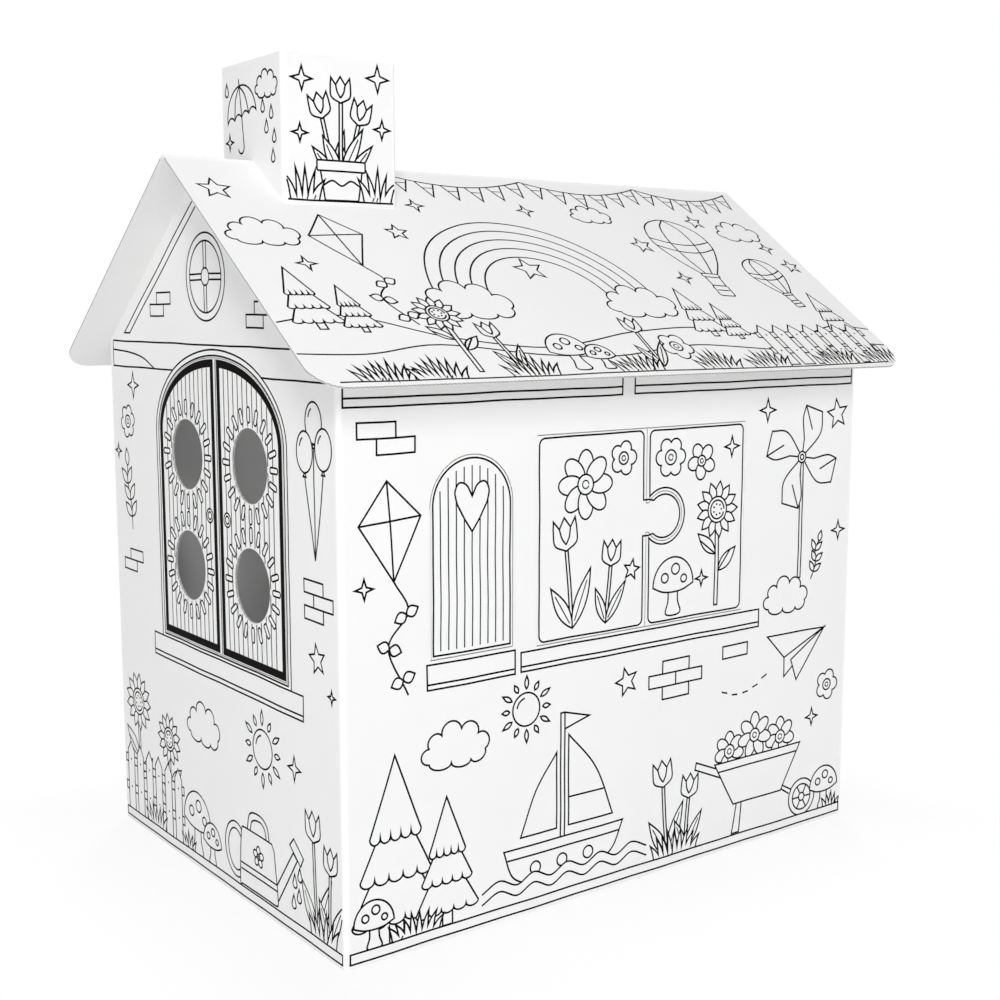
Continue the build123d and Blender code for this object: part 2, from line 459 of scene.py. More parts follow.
def thin_out(points, tolerance=0.1):
    """Leave out points that lie on a straight run."""
    keep = np.zeros(len(points), bool)
    keep[[0, -1]] = True
    spans = [(0, len(points) - 1)]
    while spans:
        first, last = spans.pop()
        if last - first < 2:
            continue
        run = points[last] - points[first]
        between = points[first + 1:last] - points[first]
        length = np.hypot(*run)
        if length > 1e-6:
            off = np.abs(between[:, 0] * run[1] - between[:, 1] * run[0]) / length
        else:
            off = np.hypot(between[:, 0], between[:, 1])
        widest = int(off.argmax())
        if off[widest] > tolerance:
            middle = first + 1 + widest
            keep[middle] = True
            spans += [(first, middle), (middle, last)]
    return points[keep]


def hold_corners(points, reach=0.5):
    """Two more points close to each sharp corner."""
    out = [points[0]]
    for before, here, after in zip(points, points[1:], points[2:]):
        back, ahead = before - here, after - here
        long_back, long_ahead = np.hypot(*back), np.hypot(*ahead)
        if back @ ahead > SHARP * long_back * long_ahead and min(long_back, long_ahead) > 2 * reach:
            out += [here + back * reach / long_back, here, here + ahead * reach / long_ahead]
        else:
            out.append(here)
    out.append(points[-1])
    return np.array(out)


def add_spline(curve, points, closed, radius=1.0):
    """A poly spline through points in millimetres; its radius is half the pen's width."""
    spline = curve.splines.new("POLY")
    spline.points.add(len(points) - 1)
    flat = np.zeros((len(points), 4))
    flat[:, :2] = points / MM
    flat[:, 3] = 1
    spline.points.foreach_set("co", flat.ravel())
    spline.points.foreach_set("radius", np.full(len(points), radius))
    spline.use_cyclic_u = closed


def curve_to_mesh(name, curve):
    """Put a curve in the scene and turn it into a mesh object, selected and active."""
    bpy.ops.object.select_all(action="DESELECT")
    piece = bpy.data.objects.new(name, curve)
    bpy.context.collection.objects.link(piece)
    bpy.context.view_layer.objects.active = piece
    piece.select_set(True)
    bpy.ops.object.convert(target="MESH")
    return bpy.context.object


print("lines wander by up to", 2 * WANDER, "mm")

# %% [markdown]
# A finished drawing is trimmed to its panel and becomes one mesh there. Its lines are bevelled splines
# pressed to the height of a film of ink. Fields of solid black are filled splines of the same height,
# joined to the lines.

# %% From splines to ink
INK_RISE = 0.00018


def ink_panel(name, panel, outline, origin, right, up=(0, 0, 1)):
    """Trim a finished drawing to its panel and turn it into one flat mesh of ink there."""
    rub_out(panel, outline, inside=False)
    pen = bpy.data.curves.new(name, "CURVE")
    pen.dimensions = "2D"
    pen.fill_mode = "NONE"
    pen.bevel_depth = 1 / MM
    pen.bevel_resolution = 0
    pen.use_fill_caps = True
    for line, width in panel["lines"]:
        add_spline(pen, hold_corners(thin_out(by_hand(line))), False, width / 2)
    piece = curve_to_mesh(name, pen)
    bpy.ops.transform.resize(value=(1, 1, INK_RISE / (PEN / 2 / MM)), center_override=(0, 0, 0))
    bpy.ops.object.transform_apply(location=False, rotation=False, scale=True)
    if panel["blacks"]:
        fields = bpy.data.curves.new(name + "_fields", "CURVE")
        fields.dimensions = "2D"
        fields.fill_mode = "BOTH"
        fields.extrude = INK_RISE
        for field in panel["blacks"]:
            for edge in field:
                add_spline(fields, thin_out(edge), True)
        curve_to_mesh(name + "_fields", fields)
        piece.select_set(True)
        bpy.context.view_layer.objects.active = piece
        bpy.ops.object.join()
    across = Vector(right)
    upward = Vector(up)
    turned = Matrix((across, upward, across.cross(upward))).transposed().to_4x4()
    piece.matrix_world = Matrix.Translation(Vector(origin) / MM) @ turned
    bpy.ops.object.transform_apply(location=True, rotation=True, scale=True)
    piece.data.materials.clear()
    piece.data.materials.append(ink)
    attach(piece, "root")
    piece.data.calc_loop_triangles()
    print(name, len(panel["lines"]), "lines,", len(piece.data.loop_triangles), "triangles")


print(f"ink lies {INK_RISE * MM:.2f} mm high")

# %% [markdown]
# Printing ink on white board is a warm black that isn't quite even: it lies a little thinner over the
# paper's grain. A noise in object space mixes two near blacks; it needs no picture and no unwrapping.

# %% Ink finish
INK_THICK = (0.0036, 0.002, 0.002, 1)
INK_THIN = (0.0085, 0.0055, 0.0055, 1)
INK_ROUGHNESS = 0.5
MOTTLE_ROUGHNESS = 0.2
INK_SHINE = 0.03
ink = bpy.data.materials.new("black_ink")
ink.use_nodes = True
tree = ink.node_tree
shader = tree.nodes["Principled BSDF"]
coordinates = tree.nodes.new("ShaderNodeTexCoord")
mottle = fade(tree, grain(tree, coordinates.outputs["Object"], 420, 5), 0.35, 0.75)
wire(tree, tint(tree, mottle, INK_THICK, INK_THIN), shader.inputs["Base Color"])
wire(tree, sums(tree, "MULTIPLY_ADD", mottle, MOTTLE_ROUGHNESS, INK_ROUGHNESS), shader.inputs["Roughness"])
shader.inputs["Specular IOR Level"].default_value = INK_SHINE
print("ink", ink.name)

# %% [markdown]
# The drawings are built from a few outlines: rings and arcs, smooth lines through given points, rounded
# boxes, petals and leaves, and rows of round bumps for clouds and blossoms. Each is a short formula, so a
# drawing holds only the points that give it its shape.

# %% Outlines
def spun(points, degrees, size=1.0):
    """Points turned about the origin, and scaled."""
    a = radians(degrees)
    return np.asarray(points, float) @ (np.array([[cos(a), sin(a)], [-sin(a), cos(a)]]) * size)


def polar(reach, degrees):
    """The point at a distance and a bearing from the origin."""
    a = radians(degrees)
    return reach * cos(a), reach * sin(a)


def ring(x, y, wide, high=None, start=0, end=360, turn=0):
    """Points round an ellipse, or along part of it."""
    high = wide if high is None else high
    count = max(8, int(abs(end - start) / 360 * max(20, 10 + max(wide, high) * 0.9)))
    angle = np.radians(np.linspace(start, end, count + 1))
    if abs(end - start) == 360:
        angle = angle[:-1]
    return spun(np.stack([wide * np.cos(angle), high * np.sin(angle)], axis=1), turn) + (x, y)


def smooth(points, steps=7):
    """A smooth line through points."""
    points = np.asarray(points, float)
    padded = np.vstack([2 * points[0] - points[1], points, 2 * points[-1] - points[-2]])
    out = []
    for a, b, c, d in zip(padded, padded[1:], padded[2:], padded[3:]):
        for t in np.linspace(0, 1, steps, endpoint=False):
            square, cube = 2 * a - 5 * b + 4 * c - d, 3 * b - a - 3 * c + d
            out.append(0.5 * (2 * b + (c - a) * t + square * t**2 + cube * t**3))
    out.append(points[-1])
    return np.array(out)


def box(left, low, right, high, corner=0.0):
    """A rectangle, with rounded corners where asked."""
    if not corner:
        return np.array([(left, low), (right, low), (right, high), (left, high)], float)
    parts = []
    for x, y, start in ((right - corner, low + corner, -90), (right - corner, high - corner, 0),
                        (left + corner, high - corner, 90), (left + corner, low + corner, 180)):
        parts.append(ring(x, y, corner, start=start, end=start + 90))
    return np.vstack(parts)


def blade(x, y, angle, length, width):
    """A leaf or petal that starts at a point and grows at an angle."""
    along = np.linspace(0, 1, 11)
    half = width / 2 * np.sin(pi * along**0.85)
    side = np.stack([along * length, half], axis=1)
    return spun(np.vstack([side, side[-2:0:-1] * (1, -1)]), angle) + (x, y)


def scallops(valleys):
    """Round bumps from valley to valley, clockwise; each valley has the swell of the bump after it."""
    turn = np.radians(np.linspace(180, 0, 11)[:-1])[:, None]
    out = []
    for (x0, y0, swell), (x1, y1, _) in zip(valleys, valleys[1:] + valleys[:1]):
        half = np.array([x1 - x0, y1 - y0]) / 2
        outward = np.array([-half[1], half[0]]) * swell
        out.append(np.array([x0, y0]) + half + half * np.cos(turn) + outward * np.sin(turn))
    return np.vstack(out)


print("a ring of 20 mm has", len(ring(0, 0, 20)), "points")

# %% [markdown]
# A motif is a list of steps, each a closed shape, a shape with an open foot, a line or a black spot. It is
# drawn from back to front with its foot or its middle at the origin, and stamped on a panel at a place,
# size and turn.

# %% Motifs and stamps
def as_steps(kind, *outlines):
    """One step of the same kind for each outline."""
    return [(kind, outline) for outline in outlines]


shapes = partial(as_steps, "shape")
lines = partial(as_steps, "line")
fine_lines = partial(as_steps, "fine")
spots = partial(as_steps, "black")


def moved(steps, x=0.0, y=0.0, size=1.0, turn=0.0, flip=False):
    """The same steps at a place, size and turn."""
    hand = (-1 if flip else 1, 1)
    return [(kind, spun(np.asarray(points, float) * hand, turn, size) + (x, y)) for kind, points in steps]


def stamp(panel, steps, *place, **manner):
    """Draw a motif's steps at a place, size and turn."""
    for kind, points in moved(steps, *place, **manner):
        if kind == "shape":
            draw_shape(panel, points)
        elif kind == "open":
            draw_open(panel, points)
        elif kind == "black":
            draw_black(panel, points)
        else:
            draw_line(panel, points, FINE if kind == "fine" else PEN)


print("a step is one of: shape, open, line, fine, black")

# %% [markdown]
# The printed sky has clouds, stars, suns and drops. They are small and come back on most panels, so each is
# a function of its size, and one outline serves a wide cloud on the roof and a narrow one on the chimney.

# %% Sky motifs
def cloud(width):
    valleys = [(-39, -16, 1.15), (-39, 3, 0.85), (-21, 16, 0.95), (7, 20, 0.9),
               (31, 10, 0.95), (41, -11, 0.75), (20, -20, 0.5), (-8, -19, 0.5)]
    return shapes(scallops(valleys) * (width / 100))


def star(size, points=5, depth=0.45):
    angle = np.radians(90 + np.arange(2 * points) * 180 / points)
    reach = np.where(np.arange(2 * points) % 2 == 0, size, size * depth)
    return shapes(np.stack([reach * np.cos(angle), reach * np.sin(angle)], axis=1))


def sparkle(size):
    return star(size, 4, 0.34)


def sun(size, rays=12):
    """A disc with a ring of separate pointed rays."""
    steps = shapes(ring(0, 0, size * 0.55)) + lines(ring(0, 0, size * 0.38, start=100, end=170))
    for k in range(rays):
        bearing = k * 360 / rays
        length = size * (0.42 if k % 2 else 0.3)
        steps += shapes(blade(*polar(size * 0.68, bearing), bearing, length, size * 0.15))
    return steps


def drop(size):
    tip = [(0, size), (size * 0.3, size * 0.35), (size * 0.5, -size * 0.2)]
    belly = ring(0, -size * 0.25, size * 0.52, start=0, end=-180)
    return shapes(np.vstack([tip, belly, [(-size * 0.5, -size * 0.2), (-size * 0.3, size * 0.35)]]))


print("a cloud has", len(cloud(100)[0][1]), "points, a sun", len(sun(40)), "steps")

# %% [markdown]
# Other printed things fly or stand in the wind: balloons, a kite, a pinwheel, an umbrella and a paper
# plane. Most are drawn once in handy units and scaled at the end, which keeps their points easy to read.

# %% Motifs in the wind
def sky_balloon(width):
    skin = smooth([(-16, -62), (-42, -25), (-60, 22), (-46, 66), (0, 86),
                   (46, 66), (60, 22), (42, -25), (16, -62)])
    steps = shapes(box(-15, -118, 15, -92, 4))
    steps += lines([(-12, -104), (12, -104)], [(-15, -64), (-13, -92)], [(15, -64), (13, -92)])
    steps += shapes(skin)
    for side in (-1, 1):
        steps += lines(smooth([(side * 6, -62), (side * 17, -25), (side * 24, 22), (side * 18, 62), (0, 86)]))
    steps += lines(smooth([(-58, 10), (-30, -1), (0, -5), (30, -1), (58, 10)]),
                   smooth([(-60, 30), (-30, 20), (0, 16), (30, 20), (60, 30)]))
    return moved(steps + shapes(box(-17, -70, 17, -61, 3)), size=width / 120)


def kite(height, tail):
    top, wide, low = height * 0.4, height * 0.36, -height * 0.6
    steps = lines(smooth([(0, low), (tail * 0.12, low - tail * 0.28), (-tail * 0.1, low - tail * 0.55),
                          (tail * 0.06, low - tail)]))
    for share, aside, turn in ((0.3, 0.1, 20), (0.56, -0.09, -25), (0.86, 0.02, 15)):
        for side in (0, 180):
            steps += shapes(blade(tail * aside, low - tail * share, side + turn, 19, 15))
    steps += shapes([(0, top), (wide, 0), (0, low), (-wide, 0)])
    return steps + lines([(0, top), (0, low)], [(-wide, 0), (wide, 0)])


def pinwheel(size, stick):
    vane = np.vstack([[(0, 0)], smooth([(0.05, 0.35), (0.0, 0.75), (0.08, 1.0)]),
                      smooth([(0.55, 0.86), (0.5, 0.42), (0.0, 0.0)])])
    crease = [(0.08, 1.0), (0.27, 0.52)]
    steps = shapes(box(-3.2, -stick, 3.2, 0))
    for turn in range(0, 360, 90):
        steps += shapes(spun(vane, turn, size)) + lines(spun(crease, turn, size))
    return steps + shapes(ring(0, 0, size * 0.11), ring(0, 0, size * 0.05))


def umbrella(width):
    hook = np.vstack([[(0, 10), (0, -42)], ring(-9, -42, 9, start=0, end=-180)])
    across = np.linspace(-1, 1, 9)
    bow = np.stack([11.25 * across, 6.5 * (1 - across**2)], axis=1)[1:]
    hem = [bow + (x, 0) for x in (-33.75, -11.25, 11.25, 33.75)]
    canopy = np.vstack([ring(0, 0, 45, 46, start=0, end=180)] + hem)[:-1]
    steps = lines(hook) + shapes(canopy)
    for side in (-1, 0, 1):
        steps += lines(smooth([(0, 46), (side * 15, 28), (side * 22.5, 0)]))
    return moved(steps + lines([(0, 46), (0, 56)]), size=width / 90)


def string_balloons(size):
    balloons = [(0.0, 1.0), (-0.55, 0.1), (0.55, 0.25)]
    steps = []
    for x, y in balloons[1:] + balloons[:1]:
        foot = (x * size, (y - 0.72) * size)
        steps += lines(smooth([foot, (x * size * 0.7, -size * 1.4), (0, -size * 3.1)]))
    for x, y in balloons:
        middle, neck = x * size, (y - 0.74) * size
        steps += shapes([(middle - 4, neck), (middle + 4, neck), (middle, (y - 0.6) * size)],
                        ring(middle, y * size, size * 0.48, size * 0.62))
        steps += lines(ring(middle, y * size, size * 0.32, size * 0.44, start=110, end=160))
    return steps


def paper_plane(size):
    nose, tail, fold = np.array([(1, 0.28), (-0.8, 0.62), (-0.35, 0)]) * size
    keel, wing, wing_tip = np.array([(-0.42, -0.42), (-0.15, -0.12), (-0.05, -0.62)]) * size
    return shapes([nose, keel, fold], [nose, tail, fold], [nose, wing_tip, wing])


print("a sky balloon has", len(sky_balloon(120)), "steps, an umbrella", len(umbrella(90)))

# %% [markdown]
# The printed garden has flowers of several kinds. Each could be traced petal by petal. Petals and leaves
# are all rings and blades, though, so a flower is a loop round its heart, and the stem and leaves come first.

# %% Flowers
def flower(petals, reach, heart, width):
    """Separate oval petals round a heart."""
    steps = []
    for k in range(petals):
        bearing = 90 + k * 360 / petals
        steps += shapes(ring(*polar(reach * 0.56, bearing), reach * 0.44, width / 2, turn=bearing))
    return steps + shapes(ring(0, 0, heart)) + fine_lines(ring(0, 0, heart * 0.4))


def blossom(lobes, reach):
    """A flower drawn in one round-lobed outline."""
    swell = 1.2 - 0.04 * lobes
    valleys = [(*polar(reach * 0.6, 90 - k * 360 / lobes), swell) for k in range(lobes)]
    return shapes(scallops(valleys), ring(0, 0, reach * 0.3)) + fine_lines(ring(0, 0, reach * 0.12))


def sprig(height):
    """A bent twig with paired leaves."""
    bend = smooth([(0, 0), (4, 0.35 * height), (-3, 0.7 * height), (2, height)])
    steps = lines(bend)
    for share, lean in ((0.22, 42), (0.46, 40), (0.7, 38)):
        foot = bend[int(share * (len(bend) - 1))]
        for side in (-1, 1):
            steps += shapes(blade(*foot, 90 - side * lean, height * 0.3, height * 0.14))
    return steps + shapes(blade(2, height - 4, 88, height * 0.26, height * 0.14))


def tulip(height, bloom):
    neck = height - bloom * 2.0
    steps = shapes(box(-2.6, 7, 2.6, neck + 4))
    for side, length in ((1, 0.56), (-1, 0.46)):
        leaf = blade(0, 0, 90 - side * 27, height * length, height * 0.13)
        steps += shapes(leaf) + fine_lines(leaf[10] * np.array([[0.12], [0.8]]))
    cup = smooth([(0, -0.1), (0.85, 0.35), (0.95, 1.15), (0.88, 1.9)])
    rim = [(0.45, 1.35), (0.0, 2.0), (-0.45, 1.35), (-0.88, 1.9)]
    outline = np.vstack([cup, rim, (cup * (-1, 1))[::-1][1:-1]])
    fold = smooth([(0.45, 1.35), (0.3, 0.75), (0, 0.3)]) * bloom
    steps += shapes(outline * bloom + (0, neck))
    return steps + lines(fold * (-1, 1) + (0, neck), fold + (0, neck))


def sunflower(height, head):
    top = height - head
    steps = shapes(box(-3.4, 0, 3.4, top))
    for side, share in ((1, 0.28), (-1, 0.42)):
        foot = (side * 3, height * share)
        leaf = blade(*foot, 90 - side * 48, height * 0.26, height * 0.1)
        steps += shapes(leaf) + lines([foot, leaf[8]])
    for k in range(13):
        bearing = k * 360 / 13
        x, y = polar(head * 0.36, bearing)
        steps += shapes(blade(x, top + y, bearing, head * 0.64, head * 0.34))
    steps += shapes(ring(0, top, head * 0.46)) + lines(ring(0, top, head * 0.33))
    for k in range(7):
        x, y = polar(head * 0.19, k * 360 / 7)
        steps += spots(ring(x, top + y, 1.6))
    return steps


def flower_pot(height):
    steps = []
    for x, turn, tall in ((-24, 14, 118), (24, -14, 112), (0, 0, 138)):
        steps += moved(tulip(tall, 17), x * 0.4, 30, turn=turn)
    steps += shapes([(-27, 0), (27, 0), (34, 42), (-34, 42)], box(-39, 40, 39, 54, 2))
    steps += lines(smooth([(-30, 20), (-15, 27), (0, 20), (15, 27), (30, 20)]))
    return moved(steps, size=height / 170)


print("a tulip has", len(tulip(120, 17)), "steps, a sunflower", len(sunflower(220, 44)))

# %% [markdown]
# Firs, mushrooms and tufts of grass fill the ground between the flowers. Each tuft has a seed of its own,
# so no two are alike and every run gives the same ones.

# %% Trees, mushrooms and grass
def fir(height, width):
    steps = shapes(box(-height * 0.045, 0, height * 0.045, height * 0.2))
    for low, high, share in ((0.13, 0.62, 1.0), (0.36, 0.8, 0.8), (0.58, 1.0, 0.58)):
        half = width / 2 * share
        hem = [ring(half - (k + 0.5) * half / 2.5, height * low, half / 5, height * 0.035, start=0, end=-180)
               for k in range(5)]
        steps += shapes(np.vstack([[(0, height * high)]] + hem))
    return steps


def mushroom(height):
    stem = smooth([(-10, 44), (-9, 20), (-14, 2), (0, -2), (14, 2), (9, 20), (10, 44)])
    brim = smooth([(-38, 40), (-20, 33), (0, 31), (20, 33), (38, 40)])[1:-1]
    cap = np.vstack([ring(0, 40, 38, 40, start=0, end=180), brim])
    dots = [ring(*dot) for dot in ((-16, 52, 6.5), (4, 63, 7.5), (20, 48, 5.5))]
    return moved(shapes(stem, cap, *dots), size=height / 80)


def grass(width, height, blades, seed):
    """A tuft of pointed blades, in one zigzag line that starts and ends on the ground."""
    pick = np.random.default_rng(seed)
    gap = width / blades
    zigzag = [(-width / 2, 0.0)]
    for k in range(blades):
        share = 2 * (k + 0.5) / blades - 1
        tall = height * (1.08 - 0.5 * abs(share) ** 1.6) * pick.uniform(0.8, 1.1)
        tip = (share * (width / 2 + height * 0.4) + pick.uniform(-0.2, 0.2) * gap, tall)
        valley = (-width / 2 + gap * (k + 1), height * pick.uniform(0.12, 0.3) if k < blades - 1 else 0.0)
        for start, end, bend in ((zigzag[-1], tip, 0.38), (tip, valley, 0.62)):
            middle = (start[0] + (end[0] - start[0]) * bend, (start[1] + end[1]) / 2)
            zigzag += [tuple(point) for point in smooth([start, middle, end])[1:]]
    steps = as_steps("open", zigzag)
    for x in pick.uniform(-0.34, 0.34, 2) * width:
        steps += fine_lines([(x, height * 0.04), (x + 2.5, height * 0.17)])
    return steps


print("a fir has", len(fir(220, 110)), "steps, a mushroom", len(mushroom(80)))

# %% [markdown]
# The last motifs are made things: a fence, a watering can, a boat, a barrow of flowers, and single bricks
# that hint at a built wall. Straight parts are lists of corners, and only round ones need a curve.

# %% Made things
def fence(count, gap, picket, height):
    rails = (height * 0.28, height * 0.68)
    end = (count - 1) * gap + picket + 8
    steps = shapes(*(box(-8, y, end, y + 13) for y in rails))
    for x in range(0, count * gap, gap):
        right, middle, shoulder = x + picket, x + picket / 2, height - 16
        steps += shapes([(x, 0), (right, 0), (right, shoulder), (middle, height), (x, shoulder)])
        steps += spots(*(ring(middle, y + 6.5, 1.7) for y in rails))
    return steps


def watering_can(width):
    handle = ring(-62, 42, 30, 36, start=40, end=320)
    spout = [(40, 22), (88, 84), (98, 77), (44, 4)]
    rose = [(80, 92), (106, 72), (113, 84), (90, 102)]
    body = np.vstack([smooth([(-46, 2), (-52, 6), (-46, 70), (-40, 78)]), [(34, 78), (40, 70)],
                      smooth([(46, 30), (48, 6), (42, 2)])])
    steps = shapes(handle, ring(-62, 42, 21, 27), spout, rose, body)
    steps += lines([(-49, 22), (47, 22)], [(-49, 30), (46.5, 30)],
                   smooth([(-30, 78), (-22, 100), (4, 104), (22, 96), (28, 78)]),
                   smooth([(-22, 78), (-16, 92), (4, 96), (16, 90), (20, 78)]))
    return moved(steps + moved(flower(5, 22, 6, 15), -1, 50, 0.62), size=width / 150)


def sailboat(width):
    main_sail = np.vstack([[(9, 58), (9, 168)], smooth([(9, 168), (52, 120), (78, 58)])[1:]])
    fore_sail = np.vstack([[(-9, 58), (-62, 58)], smooth([(-62, 58), (-40, 110), (-9, 150)])[1:]])
    hull = np.vstack([smooth([(-86, 46), (-74, 14), (-50, 0)]), smooth([(50, 0), (78, 14), (95, 46)])])
    steps = shapes(box(-3, 40, 3, 196), [(3, 196), (40, 186), (3, 176)], main_sail, fore_sail)
    steps += lines([(9, 92), (64, 92)]) + shapes(hull) + lines([(-81, 34), (90, 34)])
    return moved(steps + shapes(*(ring(x, 18, 7.5) for x in (-40, 0, 40))), size=width / 190)


def barrow(width):
    steps = []
    for x, y, reach in ((-48, 104, 24), (38, 106, 25), (-6, 116, 28)):
        steps += moved(flower(7, reach, 8, 15), x, y)
    handle = [(-104, 92), (-102, 100), (-36, 74), (-40, 66)]
    leg = [(-34, 40), (-26, 40), (-30, 2), (-42, 2)]
    fork = [(36, 44), (44, 44), (82, 24), (78, 17)]
    steps += shapes(handle, leg, fork, *(ring(80, 22, radius) for radius in (23, 16, 5)))
    for turn in range(0, 360, 60):
        steps += moved(lines([polar(5, turn), polar(16, turn)]), 80, 22)
    steps += shapes([(-72, 92), (-40, 38), (42, 38), (74, 92)]) + lines([(-66, 82), (68, 82)])
    return moved(steps, size=width / 210)


def bricks(*places):
    """Single bricks of a course; each place counts in half bricks across and whole bricks up."""
    wide, high = 56, 20
    return shapes(*(box(x * wide / 2, y * high, x * wide / 2 + wide, (y + 1) * high) for x, y in places))


print("a boat has", len(sailboat(190)), "steps, a barrow", len(barrow(210)))

# %% [markdown]
# Some parts come back on several panels: a band along the foot, the lines of the gables, arched
# leaves with planks, and a string of flags. They are drawn by these functions; the die cuts are where the
# CAD has them.

# %% Shared panel parts
FOOT_BAND = (6, 19.5)
GABLE_BAND = (740, 779)
RAKE_FOOT = 792
RAKE_MARGINS = (23, 35)
ATTIC = 872
ATTIC_PANE = 48.8


def arch(middle, half, low, spring, rise, grow):
    """An arched outline, grown or shrunk by a margin."""
    over = ring(middle, spring, half + grow, rise + grow, start=0, end=180)
    return np.vstack([[(middle + half + grow, low - grow)], over, [(middle - half - grow, low - grow)]])


def half_arch(middle, half, low, spring, rise, side, inset, deep, gap):
    """One leaf of an arched pair, set in at its side, at its foot and crown, and from the middle line."""
    turn = np.degrees(np.arccos(gap / (half - inset)))
    over = ring(0, spring, half - inset, rise - deep, start=0, end=turn)
    return np.vstack([[(gap, low + deep), (half - inset, low + deep)], over]) * (side, 1) + (middle, 0)


def planks(panel, places, middle, half, low, spring, rise, width=FINE):
    """Fine upright lines that stop at the arch."""
    for x in places:
        top = spring + rise * np.sqrt(1 - (x / half) ** 2)
        draw_line(panel, [(middle + x, low), (middle + x, top)], width)


def foot_lines(panel, half):
    """A narrow band along the foot; drawn last, because the garden stands behind it."""
    draw_shape(panel, box(-half + 7, FOOT_BAND[0], half - 7, FOOT_BAND[1]))


def sill(panel, left, right, low, high):
    """A window sill with a line along its lower edge."""
    draw_shape(panel, box(left, low, right, high))
    draw_line(panel, [(left, low + 7), (right, low + 7)])


def gable_lines(panel):
    """The band at eave height, the double line under the roof, a round attic window and some bricks."""
    draw_shape(panel, box(-half_width + 15, GABLE_BAND[0], half_width - 15, GABLE_BAND[1]))
    rake = []
    for margin in RAKE_MARGINS:
        peak = under_ridge - margin / cos(PITCH)
        foot = (peak - RAKE_FOOT) / SLOPE
        rake.append([(-foot, RAKE_FOOT), (0, peak), (foot, RAKE_FOOT)])
    draw_shape(panel, rake[0] + rake[1][::-1])
    for radius in (60, 49):
        draw_shape(panel, ring(0, ATTIC, radius))
    for off in (-4, 4):
        draw_line(panel, [(-ATTIC_PANE, ATTIC + off), (ATTIC_PANE, ATTIC + off)])
    for off in (-4, 4):
        draw_line(panel, [(off, ATTIC - ATTIC_PANE), (off, ATTIC + ATTIC_PANE)])
    draw_shape(panel, ring(0, ATTIC, 12))
    for place in ((-188, 818), (120, 804)):
        stamp(panel, bricks((0, 0), (1, 1)), *place, size=0.85)


def bunting(left, right, height, sag, flags):
    """A sagging string with pointed flags."""
    along = np.linspace(0, 1, 25)
    string = np.stack([left + (right - left) * along, height - 4 * sag * along * (1 - along)], axis=1)
    steps = []
    for k in range(flags):
        at = (k + 0.5) / flags
        x, y = left + (right - left) * at, height - 4 * sag * at * (1 - at)
        tilt = -4 * sag * (1 - 2 * at) / (right - left)
        steps += shapes([(x - 15, y - 15 * tilt), (x + 15, y + 15 * tilt), (x + 6 * tilt, y - 38)])
        steps += fine_lines([(x - 9, y - 14), (x + 9, y - 14)])
    return steps + lines(string)


print("a string of six flags has", len(bunting(0, 240, 0, 26, 6)), "steps")

# %% [markdown]
# The print stops a little inside each panel, as a press leaves a margin at folds and cuts. These outlines
# say where. The roof's lower corners are rounded, and the ridge is a straight fold, so a slope has two
# round corners only.

# %% Edges of the print
SIDE_MARGIN = 6
FOOT_MARGIN = 3
ROOF_MARGIN = 2
ROOF_CORNER = 45
gable_side = half_width - SIDE_MARGIN
gable_shoulder = eave_height - 4
gable_edge = np.array([(-gable_side, FOOT_MARGIN), (gable_side, FOOT_MARGIN), (gable_side, gable_shoulder),
                       (0, under_ridge - 8), (-gable_side, gable_shoulder)])
long_side = half_length - SIDE_MARGIN
long_edge = box(-long_side, FOOT_MARGIN, long_side, eave_height - 14)
slope_side = roof_end - ROOF_MARGIN
slope_head = slope_length - 6
slope_round = box(-slope_side, ROOF_MARGIN, slope_side, slope_head, ROOF_CORNER - ROOF_MARGIN)
quarter = len(slope_round) // 4
slope_top = [(slope_side, slope_head), (-slope_side, slope_head)]
slope_edge = np.vstack([slope_round[:quarter], slope_top, slope_round[-quarter:]])
print(f"slope print {2 * slope_side:.0f} mm wide")

# %% [markdown]
# The window gable comes first. Its two arched leaves carry a heavy black border, planks, and a ring of
# white dashes round each of the four holes. The border is a field with a hole, because no pen is that wide,
# and each dash is a closed shape that rubs out the planks behind it.

# %% Window gable, the arched leaves
window = dict(middle=22, half=190, low=344, spring=650, rise=112)
HOLE_ASIDE = 97
HOLE_HEIGHTS = (459, 621)
HOLE_RADIUS = 52.5
HANDLE_HEIGHT = 540
gable = new_panel()
gable_lines(gable)
draw_line(gable, smooth([(-half_width + 15, 765), (-276, 763), (-222, 755), (-180, 740)]))
for grow in (11, 3):
    draw_shape(gable, arch(**window, grow=grow))
dash = box(58, -3.9, 79, 3.9, 3.4)
for side in (-1, 1):
    outer = half_arch(**window, side=side, inset=2, deep=2, gap=5)
    inner = half_arch(**window, side=side, inset=11.5, deep=13, gap=14.5)
    draw_black(gable, outer, inner)
    seams = [side * (26 + 13.7 * k) for k in range(11)]
    planks(gable, seams, **dict(window, half=178, low=357, rise=99), width=2.3)
    for height in HOLE_HEIGHTS:
        hole = (window["middle"] + side * HOLE_ASIDE, height)
        for turn in range(0, 360, 18):
            draw_shape(gable, spun(dash, turn) + hole)
        rub_out(gable, ring(*hole, HOLE_RADIUS))
    for radius in (10, 5.5):
        draw_shape(gable, ring(window["middle"] + side * 27, HANDLE_HEIGHT, radius))
meeting = window["middle"] + 2
draw_line(gable, [(meeting, 346), (meeting, 760)], FINE)
sill(gable, -210, 254, 302, 336)
print("leaves", len(gable["lines"]), "lines")

# %% [markdown]
# Small things fill the strips beside the leaves, and a garden grows below the sill. Back to front means
# that what stands behind the fence or in the grass is stamped before it. Here and on the later panels, put
# is the stamp for the panel at hand.

